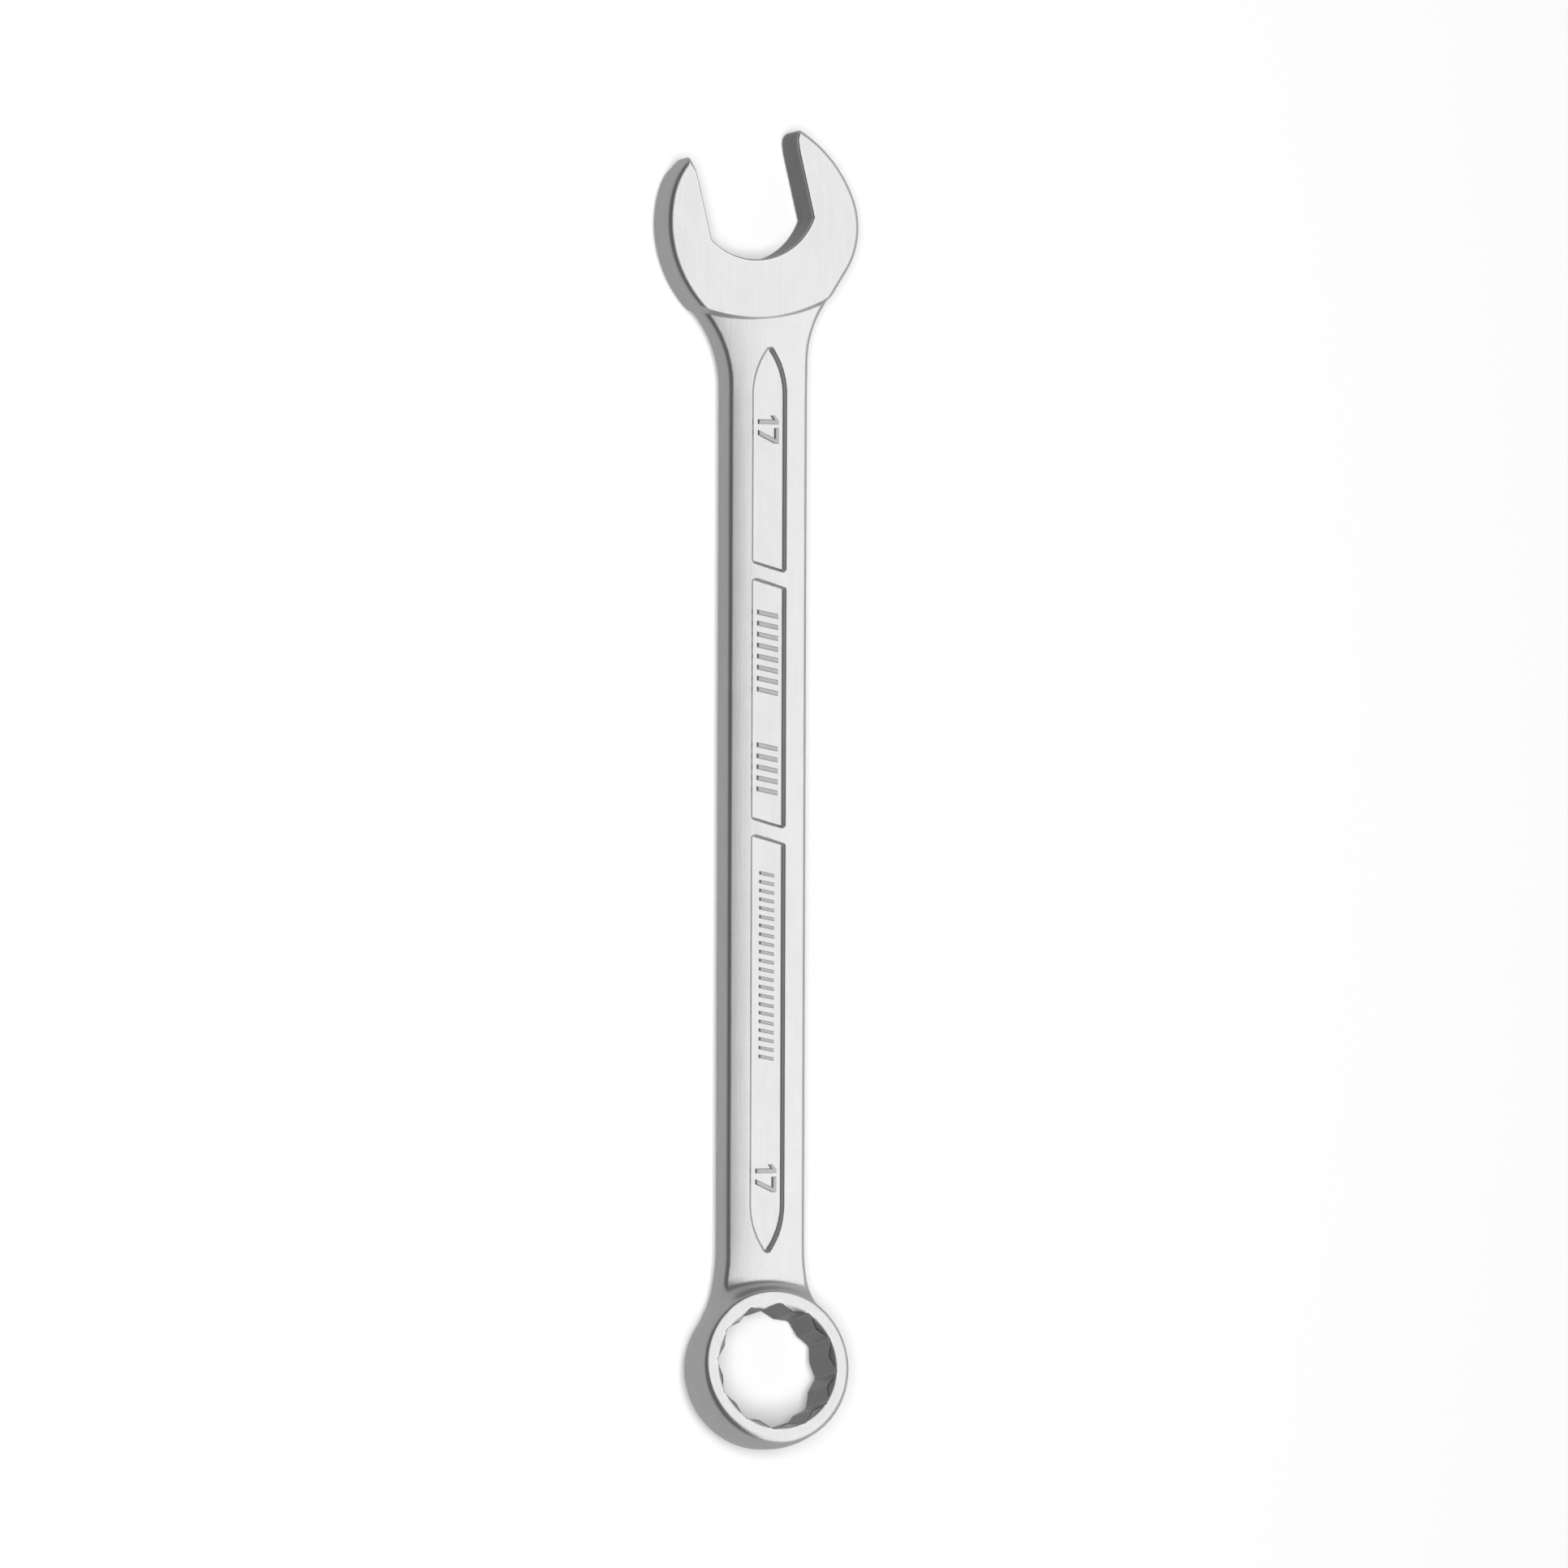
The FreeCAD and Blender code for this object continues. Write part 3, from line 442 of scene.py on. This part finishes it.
GRADIENT_REACH = 0.02
CAP_WEIGHT = 1e-3  # of a crossing in a cap's no-thickness cells, where the others count 1
SETTLE_ROUNDS, SETTLE_STEP, LEAST_SLOPE = 3, 0.1, 0.2
# how far from the cut walls, their ends and the rubbed edges the cut walls' painted shade and the
# edges' wear fade out
JAW_CUT_FADE, JAW_CUT_INSET, JAW_CUT_EASE = 0.3, 0.1, 0.4
SOCKET_CUT_FADE, SOCKET_CUT_EASE = 0.2, 0.3
WEAR_REACH, WEAR_FADE = 0.5, 0.2


def gradient(x, y, z):
    """Direction in which the field rises, by central differences."""
    parts = []
    for shift in np.eye(3) * GRADIENT_REACH:
        ahead = wrench(x + shift[0], y + shift[1], z + shift[2])
        behind = wrench(x - shift[0], y - shift[1], z - shift[2])
        parts.append((ahead - behind) / (2 * GRADIENT_REACH))
    return np.stack(parts, axis=-1)


def surface_net(field, axes):
    """Vertices and quads of the field's zero surface: one vertex in each cell that it crosses.

    A first or last pair of equal stations on the X axis closes the mesh there with a flat cap.
    Returns the points, the quads, and for each point whether it is on a cap and on its rim.
    """
    inside = field < 0
    corners = [(i, j, k) for i in (0, 1) for j in (0, 1) for k in (0, 1)]

    def part(array, i, j, k):
        nx, ny, nz = (n - 1 for n in field.shape)
        return array[i:i + nx, j:j + ny, k:k + nz]
    count = sum(part(inside, *corner).astype(np.int8) for corner in corners)
    cells = np.nonzero((count > 0) & (count < 8))
    number = np.full(count.shape, -1)
    number[cells] = np.arange(len(cells[0]))

    flat = axes[0][cells[0]] == axes[0][cells[0] + 1]
    total = np.zeros((len(cells[0]), 3))
    weight = np.zeros(len(cells[0]))
    crossed_in_plane = np.zeros(len(cells[0]), bool)
    for axis in range(3):
        for start in corners:
            if start[axis]:
                continue
            end = tuple(1 if a == axis else s for a, s in enumerate(start))
            low = [c + s for c, s in zip(cells, start)]
            high = [c + e for c, e in zip(cells, end)]
            a, b = field[tuple(low)], field[tuple(high)]
            crosses = (a < 0) != (b < 0)
            t = np.where(crosses, a / np.where(crosses, a - b, 1.0), 0.0)
            worth = crosses * (np.where(flat, CAP_WEIGHT, 1.0) if axis == 0 else 1.0)
            for d in range(3):
                here, there = axes[d][low[d]], axes[d][high[d]]
                total[:, d] += worth * (here + (there - here) * t)
            weight += worth
            if axis > 0:
                crossed_in_plane |= crosses
    points = total / weight[:, None]

    quads = []
    for axis in range(3):
        u, v = (axis + 1) % 3, (axis + 2) % 3
        low = [slice(1, n - 1) for n in field.shape]
        high = list(low)
        low[axis], high[axis] = slice(0, -1), slice(1, None)
        a, b = inside[tuple(low)], inside[tuple(high)]
        where = [w + (0 if d == axis else 1) for d, w in enumerate(np.nonzero(a != b))]
        leaving = a[a != b]
        ring = []
        for du, dv in ((1, 1), (0, 1), (0, 0), (1, 0)):
            index = list(where)
            index[u], index[v] = where[u] - du, where[v] - dv
            ring.append(number[tuple(index)])
        ring = np.stack(ring, axis=1)
        ring[~leaving] = ring[~leaving][:, ::-1]
        quads.append(ring)
    return points, np.concatenate(quads), flat, flat & crossed_in_plane


def settle(points, capped, rim):
    """Move points onto the surface; those on a cap stay in it, and those inside it stay put."""
    for _ in range(SETTLE_ROUNDS):
        value = wrench(*points.T)
        slope = gradient(*points.T)
        slope[capped, 0] = 0.0
        slope[capped & ~rim] = 0.0
        square = np.maximum((slope**2).sum(axis=1), LEAST_SLOPE)
        points = points - np.clip(value / square, -SETTLE_STEP, SETTLE_STEP)[:, None] * slope
    return points


def is_near(distance, fade):
    """1 within half a fade of an outline, and 0 beyond one and a half."""
    return smooth_step(1.5 - np.abs(distance) / fade)


def cut_wall_shade(x, y, z):
    """Painted shade mask: 1 on walls cut in the jaw and the socket after forging, 0 elsewhere."""
    in_jaw = is_near(outline_distance(*jaw_place(x, y), JAW), JAW_CUT_FADE)
    in_jaw = in_jaw * smooth_step((HEAD_HALF - JAW_CUT_INSET - np.abs(z)) / JAW_CUT_EASE)
    along, level = ring_place(x, z)
    in_socket = is_near(star_distance(along, y), SOCKET_CUT_FADE)
    in_socket = in_socket * smooth_step((RING_HALF - np.abs(level)) / SOCKET_CUT_EASE)
    return np.where(x < HEAD_ZONE_END, in_jaw, np.where(x > RING_ZONE_START, in_socket, 0.0))


def edge_wear(points, normals):
    """1 on outer edges, where the solid behind the surface is thin, and 0 on flats."""
    behind = wrench(*(points - WEAR_REACH * normals).T)
    return smooth_step((behind + WEAR_REACH) / WEAR_FADE)


def stations(start, end, step):
    """Evenly spaced values from start to end, about a step apart."""
    return np.linspace(start, end, int(round((end - start) / step)) + 1)


def zone_object(name, node, spans, steps, caps):
    """One zone of the forging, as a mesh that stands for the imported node."""
    axes = [stations(*span, step) for span, step in zip(spans, steps)]
    if caps[0]:
        axes[0] = np.concatenate(([axes[0][0]], axes[0]))
    if caps[1]:
        axes[0] = np.concatenate((axes[0], [axes[0][-1]]))
    x, y, z = np.meshgrid(*axes, indexing="ij", sparse=True)
    field = wrench(x, y, z)
    if caps[0]:
        field[0] = 1.0
    if caps[1]:
        field[-1] = 1.0
    points, quads, capped, rim = surface_net(field, axes)
    points = settle(points, capped, rim)
    normals = gradient(*points.T)
    normals /= np.maximum(np.linalg.norm(normals, axis=1), 1e-9)[:, None]
    flat = capped & ~rim
    normals[flat] = 0.0
    normals[flat, 0] = np.where(points[flat, 0] < (spans[0][0] + spans[0][1]) / 2, -1.0, 1.0)
    shares = {"cut_wall_shade": cut_wall_shade(*points.T), "edge_wear": edge_wear(points, normals)}
    mesh = bpy.data.meshes.new(name)
    mesh.from_pydata(((points * MM) + ORIGIN).tolist(), [], quads.tolist())
    mesh.polygons.foreach_set("use_smooth", [True] * len(quads))
    mesh.normals_split_custom_set_from_vertices(normals.tolist())
    for key, values in shares.items():
        mesh.attributes.new(key, "FLOAT", "POINT").data.foreach_set("value", values)
    piece = bpy.data.objects.new(name, mesh)
    bpy.context.scene.collection.objects.link(piece)
    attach(piece, "root")
    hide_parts(node)
    return piece


# ---- raised marks on the floors of the panels ----

MARK_HEIGHT = 3.4
MARK_RELIEF = 0.3
MARK_BEVEL = 0.2
MARK_ROOT = 0.1
NUMBER_XS = (31.4, 147.2)
# digits in units of their height, each from its lower left corner
ONE = [(0.18, 0.0), (0.40, 0.0), (0.40, 1.0), (0.22, 1.0), (0.0, 0.81), (0.0, 0.60), (0.18, 0.73)]
SEVEN = [(0.10, 0.0), (0.34, 0.0), (0.72, 0.80), (0.72, 1.0), (0.0, 1.0), (0.0, 0.79), (0.47, 0.79)]
ONE_WIDTH, SEVEN_WIDTH, DIGIT_GAP = 0.42, 0.72, 0.14
# rows of bars: first station, length, pitch, width of a bar, height
BARS = (
    (59.6, 13.8, 1.7, 0.75, 3.4),
    (80.1, 7.8, 1.7, 0.75, 3.4),
    (99.9, 29.5, 1.35, 0.55, 2.4),
)
BAR_SLANT = 0.2


def number_outlines():
    """The size number, once near each end."""
    for x in NUMBER_XS:
        cursor = x - (ONE_WIDTH + DIGIT_GAP + SEVEN_WIDTH) * MARK_HEIGHT / 2
        for outline, width in ((ONE, ONE_WIDTH), (SEVEN, SEVEN_WIDTH)):
            yield [(cursor + u * MARK_HEIGHT, (v - 0.5) * MARK_HEIGHT) for u, v in outline]
            cursor += (width + DIGIT_GAP) * MARK_HEIGHT


def bar_outlines():
    """Rows of plain slanted bars, where the real wrench has lettering."""
    for first, length, pitch, width, tall in BARS:
        lean = BAR_SLANT * tall / 2
        for i in range(int((length - width) / pitch) + 1):
            x = first + i * pitch
            yield [(x - lean, -tall / 2), (x + width - lean, -tall / 2),
                   (x + width + lean, tall / 2), (x + lean, tall / 2)]


def in_fixed_order(shapes):
    """A bmesh's points, no edges, and its faces, in an order that doesn't vary as bevel's does."""
    points = sorted(shapes.verts, key=lambda vert: tuple(vert.co))
    number = {vert: i for i, vert in enumerate(points)}
    faces = []
    for face in shapes.faces:
        ring = [number[vert] for vert in face.verts]
        first = ring.index(min(ring))
        faces.append(ring[first:] + ring[:first])
    return [tuple(vert.co) for vert in points], [], sorted(faces)


def marks_object(name, outlines):
    """Raised shapes with eased top edges, on both faces of the handle."""
    shapes = bmesh.new()
    low, high = RECESS_FLOOR - MARK_ROOT, RECESS_FLOOR + MARK_RELIEF
    for outline in outlines:
        for side in (1, -1):
            corners = [shapes.verts.new((x, side * y, side * low)) for x, y in outline]
            base = shapes.faces.new(corners)
            raised = bmesh.ops.extrude_face_region(shapes, geom=[base])["geom"]
            top = [v for v in raised if isinstance(v, bmesh.types.BMVert)]
            for vert in top:
                vert.co.z = side * high
            edges = [edge for edge in shapes.edges if all(end in top for end in edge.verts)]
            bmesh.ops.bevel(shapes, geom=edges, offset=MARK_BEVEL, segments=3, profile=0.5,
                            affect="EDGES")
    bmesh.ops.recalc_face_normals(shapes, faces=shapes.faces)
    bmesh.ops.transform(shapes, matrix=Matrix.Translation(ORIGIN) @ Matrix.Scale(MM, 4),
                        verts=shapes.verts)
    mesh = bpy.data.meshes.new(name)
    mesh.from_pydata(*in_fixed_order(shapes))
    shapes.free()
    piece = bpy.data.objects.new(name, mesh)
    bpy.context.scene.collection.objects.link(piece)
    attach(piece, "root")
    return piece


# ---- materials ----

# base colour of the side walls, darker than the faces' as painted shade, and their roughness
WALL_SHADE_LEVEL, WALL_ROUGHNESS = 0.64, 0.38
# painted shade: the walls cut in the jaw and the socket keep this share of the base colour
CUT_WALL_SHADE_SHARE = 0.4  # of the brightness elsewhere, on the walls cut in the jaw and the socket
WORN_LEVEL, WORN_SMOOTHNESS = 0.04, 0.06
MOTTLE_LEVEL, CLOUD_LEVEL, GRAIN_ROUGHNESS = 0.02, 0.015, 0.05
RED_SHARE = 0.995
BUMP_STRENGTH, BUMP_DISTANCE = 0.3, 0.000014


def link_math(tree, kind, *values):
    """Output of a Math node; each value is a number or another node's output."""
    node = tree.nodes.new("ShaderNodeMath")
    node.operation = kind
    for socket, value in zip(node.inputs, values):
        if isinstance(value, (int, float)):
            socket.default_value = value
        else:
            tree.links.new(value, socket)
    return node.outputs[0]


def noise(tree, coordinates, scale, stretch, detail=3.0, roughness=0.55):
    """Noise with its own stretch along X, Y and Z."""
    mapping = tree.nodes.new("ShaderNodeMapping")
    mapping.inputs["Scale"].default_value = stretch
    tree.links.new(coordinates, mapping.inputs["Vector"])
    texture = tree.nodes.new("ShaderNodeTexNoise")
    texture.inputs["Scale"].default_value = scale
    texture.inputs["Detail"].default_value = detail
    texture.inputs["Roughness"].default_value = roughness
    tree.links.new(mapping.outputs["Vector"], texture.inputs["Vector"])
    return texture.outputs["Fac"]


def remap(tree, value, low, high, to_low, to_high, smooth=False):
    """Output of a Map Range node, which takes low..high to to_low..to_high and stops there."""
    node = tree.nodes.new("ShaderNodeMapRange")
    node.interpolation_type = "SMOOTHSTEP" if smooth else "LINEAR"
    for name, number in (("From Min", low), ("From Max", high),
                         ("To Min", to_low), ("To Max", to_high)):
        node.inputs[name].default_value = number
    tree.links.new(value, node.inputs["Value"])
    return node.outputs["Result"]


def attribute(tree, name):
    """A share that each point of the mesh carries."""
    node = tree.nodes.new("ShaderNodeAttribute")
    node.attribute_name = name
    return node.outputs["Fac"]


def satin_chrome(name, face_level=0.81, face_roughness=0.29):
    """Satin chrome plate on a forging.

    The faces are linished along the handle.  The forged side walls are rougher, and their darker
    base colour is painted shade; the walls cut in the jaw and the socket are darkened further with
    painted shade, and the outer edges are rubbed smoother.
    """
    material = bpy.data.materials.new(name)
    material.use_nodes = True
    tree = material.node_tree
    shader = tree.nodes["Principled BSDF"]
    shader.inputs["Metallic"].default_value = 1.0
    place = tree.nodes.new("ShaderNodeTexCoord").outputs["Object"]
    split = tree.nodes.new("ShaderNodeSeparateXYZ")
    tree.links.new(tree.nodes.new("ShaderNodeNewGeometry").outputs["Normal"], split.inputs[0])
    facing = link_math(tree, "ABSOLUTE", split.outputs["Z"])
    is_face = remap(tree, facing, 0.5, 0.95, 0.0, 1.0, smooth=True)
    in_cut_wall_shade = attribute(tree, "cut_wall_shade")
    is_worn = attribute(tree, "edge_wear")

    grain = noise(tree, place, 900.0, (0.09, 4.0, 4.0), 4.0, 0.65)
    mottle = noise(tree, place, 420.0, (0.6, 1.0, 1.0), 5.0, 0.6)
    cloud = noise(tree, place, 60.0, (0.5, 1.0, 1.0), 2.0, 0.5)

    # painted shade: the side walls get a darker base colour than the faces
    level = remap(tree, is_face, 0.0, 1.0, WALL_SHADE_LEVEL, face_level)
    # painted shade: the walls cut in the jaw and the socket get a darker base colour
    level = link_math(tree, "MULTIPLY", level, remap(tree, in_cut_wall_shade, 0.0, 1.0, 1.0, CUT_WALL_SHADE_SHARE))
    for extra in (remap(tree, is_worn, 0.0, 1.0, 0.0, WORN_LEVEL),
                  remap(tree, mottle, 0.3, 0.7, -MOTTLE_LEVEL, MOTTLE_LEVEL),
                  remap(tree, cloud, 0.3, 0.7, -CLOUD_LEVEL, CLOUD_LEVEL)):
        level = link_math(tree, "ADD", level, extra)
    tint = tree.nodes.new("ShaderNodeCombineColor")
    tree.links.new(link_math(tree, "MULTIPLY", level, RED_SHARE), tint.inputs["Red"])
    for channel in ("Green", "Blue"):
        tree.links.new(level, tint.inputs[channel])
    tree.links.new(tint.outputs["Color"], shader.inputs["Base Color"])

    rough = link_math(tree, "ADD", remap(tree, is_face, 0.0, 1.0, WALL_ROUGHNESS, face_roughness),
                      remap(tree, grain, 0.25, 0.75, -GRAIN_ROUGHNESS, GRAIN_ROUGHNESS))
    rough = link_math(tree, "SUBTRACT", rough,
                      remap(tree, is_worn, 0.0, 1.0, 0.0, WORN_SMOOTHNESS))
    tree.links.new(rough, shader.inputs["Roughness"])

    is_flat = remap(tree, facing, 0.93, 0.99, 0.0, 0.6, smooth=True)
    relief = link_math(tree, "ADD", link_math(tree, "MULTIPLY", grain, is_flat), mottle)
    bump = tree.nodes.new("ShaderNodeBump")
    bump.inputs["Strength"].default_value = BUMP_STRENGTH
    bump.inputs["Distance"].default_value = BUMP_DISTANCE
    tree.links.new(relief, bump.inputs["Height"])
    tree.links.new(bump.outputs["Normal"], shader.inputs["Normal"])
    return material


def floor_material():
    material = bpy.data.materials.new("pale_floor")
    material.use_nodes = True
    shader = material.node_tree.nodes["Principled BSDF"]
    shader.inputs["Base Color"].default_value = (0.93, 0.93, 0.93, 1.0)
    shader.inputs["Roughness"].default_value = 0.9
    shader.inputs["Specular IOR Level"].default_value = 0.0
    return material


# ---- stage: floor, light and camera ----

VIEW_YAW = math.radians(21.0)
VIEW_ROLL = math.radians(0.2)
CAMERA_DISTANCE = 1.0
AIM_X, AIM_ACROSS = 86.2, 3.49
LENS, SENSOR = 148.14, 36.0
FLOOR_HALF = 1.5
# the room is at its horizon's brightness below the first of these heights, and dim above the last
HORIZON_HEIGHTS = (math.sin(math.radians(4)), math.sin(math.radians(26)))


def add_floor():
    """A pale floor, which the metal doesn't reflect, so that its dark edges stay dark."""
    mesh = bpy.data.meshes.new("floor")
    corners = [(x * FLOOR_HALF, y * FLOOR_HALF, 0) for x, y in ((-1, -1), (1, -1), (1, 1), (-1, 1))]
    mesh.from_pydata(corners, [], [(0, 1, 2, 3)])
    floor = bpy.data.objects.new("floor", mesh)
    bpy.context.scene.collection.objects.link(floor)
    mesh.materials.append(floor_material())
    floor.visible_glossy = False


def add_light(name, angle, shift, distance, size, radiance, for_metal):
    """A soft box over the wrench, long in X, swung from overhead towards +Y by an angle.

    It lights either the metal or the floor, so that each can be set on its own.
    """
    light = bpy.data.lights.new(name, "AREA")
    light.shape = "RECTANGLE"
    light.size, light.size_y = size
    light.energy = radiance * math.pi * size[0] * size[1]
    lamp = bpy.data.objects.new(name, light)
    lamp.location = (shift, distance * math.sin(angle), distance * math.cos(angle))
    lamp.rotation_euler = (-angle, 0.0, 0.0)
    lamp.visible_glossy = for_metal
    lamp.visible_diffuse = not for_metal
    bpy.context.scene.collection.objects.link(lamp)


def add_world(level, horizon_level):
    """A dim room that gets brighter towards its horizon."""
    world = bpy.data.worlds.new("studio")
    world.use_nodes = True
    tree = world.node_tree
    split = tree.nodes.new("ShaderNodeSeparateXYZ")
    tree.links.new(tree.nodes.new("ShaderNodeTexCoord").outputs["Generated"], split.inputs[0])
    strength = remap(tree, split.outputs["Z"], *HORIZON_HEIGHTS, horizon_level, level, smooth=True)
    tree.nodes["Background"].inputs["Color"].default_value = (1.0, 1.0, 1.0, 1.0)
    tree.links.new(strength, tree.nodes["Background"].inputs["Strength"])
    bpy.context.scene.world = world


def add_camera():
    """Camera a metre off, yawed to the left of the front face's normal, jaw end up."""
    cos, sin = math.cos(VIEW_YAW), math.sin(VIEW_YAW)
    along, across, toward_lens = Vector((1, 0, 0)), Vector((0, cos, sin)), Vector((0, -sin, cos))
    right = across * math.cos(VIEW_ROLL) - along * math.sin(VIEW_ROLL)
    down = across * math.sin(VIEW_ROLL) + along * math.cos(VIEW_ROLL)
    aim = Vector((AIM_X, AIM_ACROSS * cos, AIM_ACROSS * sin)) * MM + Vector(ORIGIN)
    camera = bpy.data.cameras.new("camera")
    camera.lens = LENS
    camera.sensor_width = SENSOR
    holder = bpy.data.objects.new("camera", camera)
    holder.matrix_world = Matrix.Translation(aim + toward_lens * CAMERA_DISTANCE) @ Matrix(
        (right, -down, toward_lens)).transposed().to_4x4()
    bpy.context.scene.collection.objects.link(holder)
    bpy.context.scene.camera = holder


def place_origin():
    """Where the forging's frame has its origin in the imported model's, in metres."""
    shank_low, shank_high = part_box("shank")
    ring_low, ring_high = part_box("ring_end")
    return np.array((shank_low.x - HEAD_ZONE_END * MM, (ring_low.y + ring_high.y) / 2,
                     (shank_low.z + shank_high.z) / 2))


ORIGIN = place_origin()
CHROME = satin_chrome("satin_chrome")
# painted shade: the raised marks get a darker base colour than the rest of the chrome
MARK_SHADE_CHROME = satin_chrome("mark_painted_shade_chrome", face_level=0.58, face_roughness=0.42)
# spans of the grid along X, Y and Z, its steps, and whether the zone is cut at its first and last X
ZONES = (
    ("jaw_head", "open_end", ((-15.6, HEAD_ZONE_END), (-17.6, 15.4), (-3.8, 3.8)),
     (0.17, 0.17, 0.17), (False, True)),
    ("handle", "shank", ((HEAD_ZONE_END, RING_ZONE_START), (-9.5, 8.3), (-3.5, 3.5)),
     (0.35, 0.2, 0.2), (True, True)),
    ("ring", "ring_end", ((RING_ZONE_START, 189.9), (-13.0, 13.0), (-4.3, 10.4)),
     (0.17, 0.17, 0.17), (True, False)),
)
for zone in ZONES:
    zone_object(*zone).data.materials.append(CHROME)
for marks_name, marks_outlines in (("size_numbers", number_outlines()),
                                   ("panel_bars", bar_outlines())):
    marks_object(marks_name, marks_outlines).data.materials.append(MARK_SHADE_CHROME)

add_floor()
add_world(0.12, 0.5)
add_light("key", math.radians(34.5), 0.7, 1.2, (3.6, 1.55), 0.93, for_metal=True)
add_light("fill", math.radians(-15), 0.0, 1.6, (0.9, 0.9), 11.0, for_metal=False)
add_camera()
bpy.context.scene.view_settings.view_transform = "Standard"
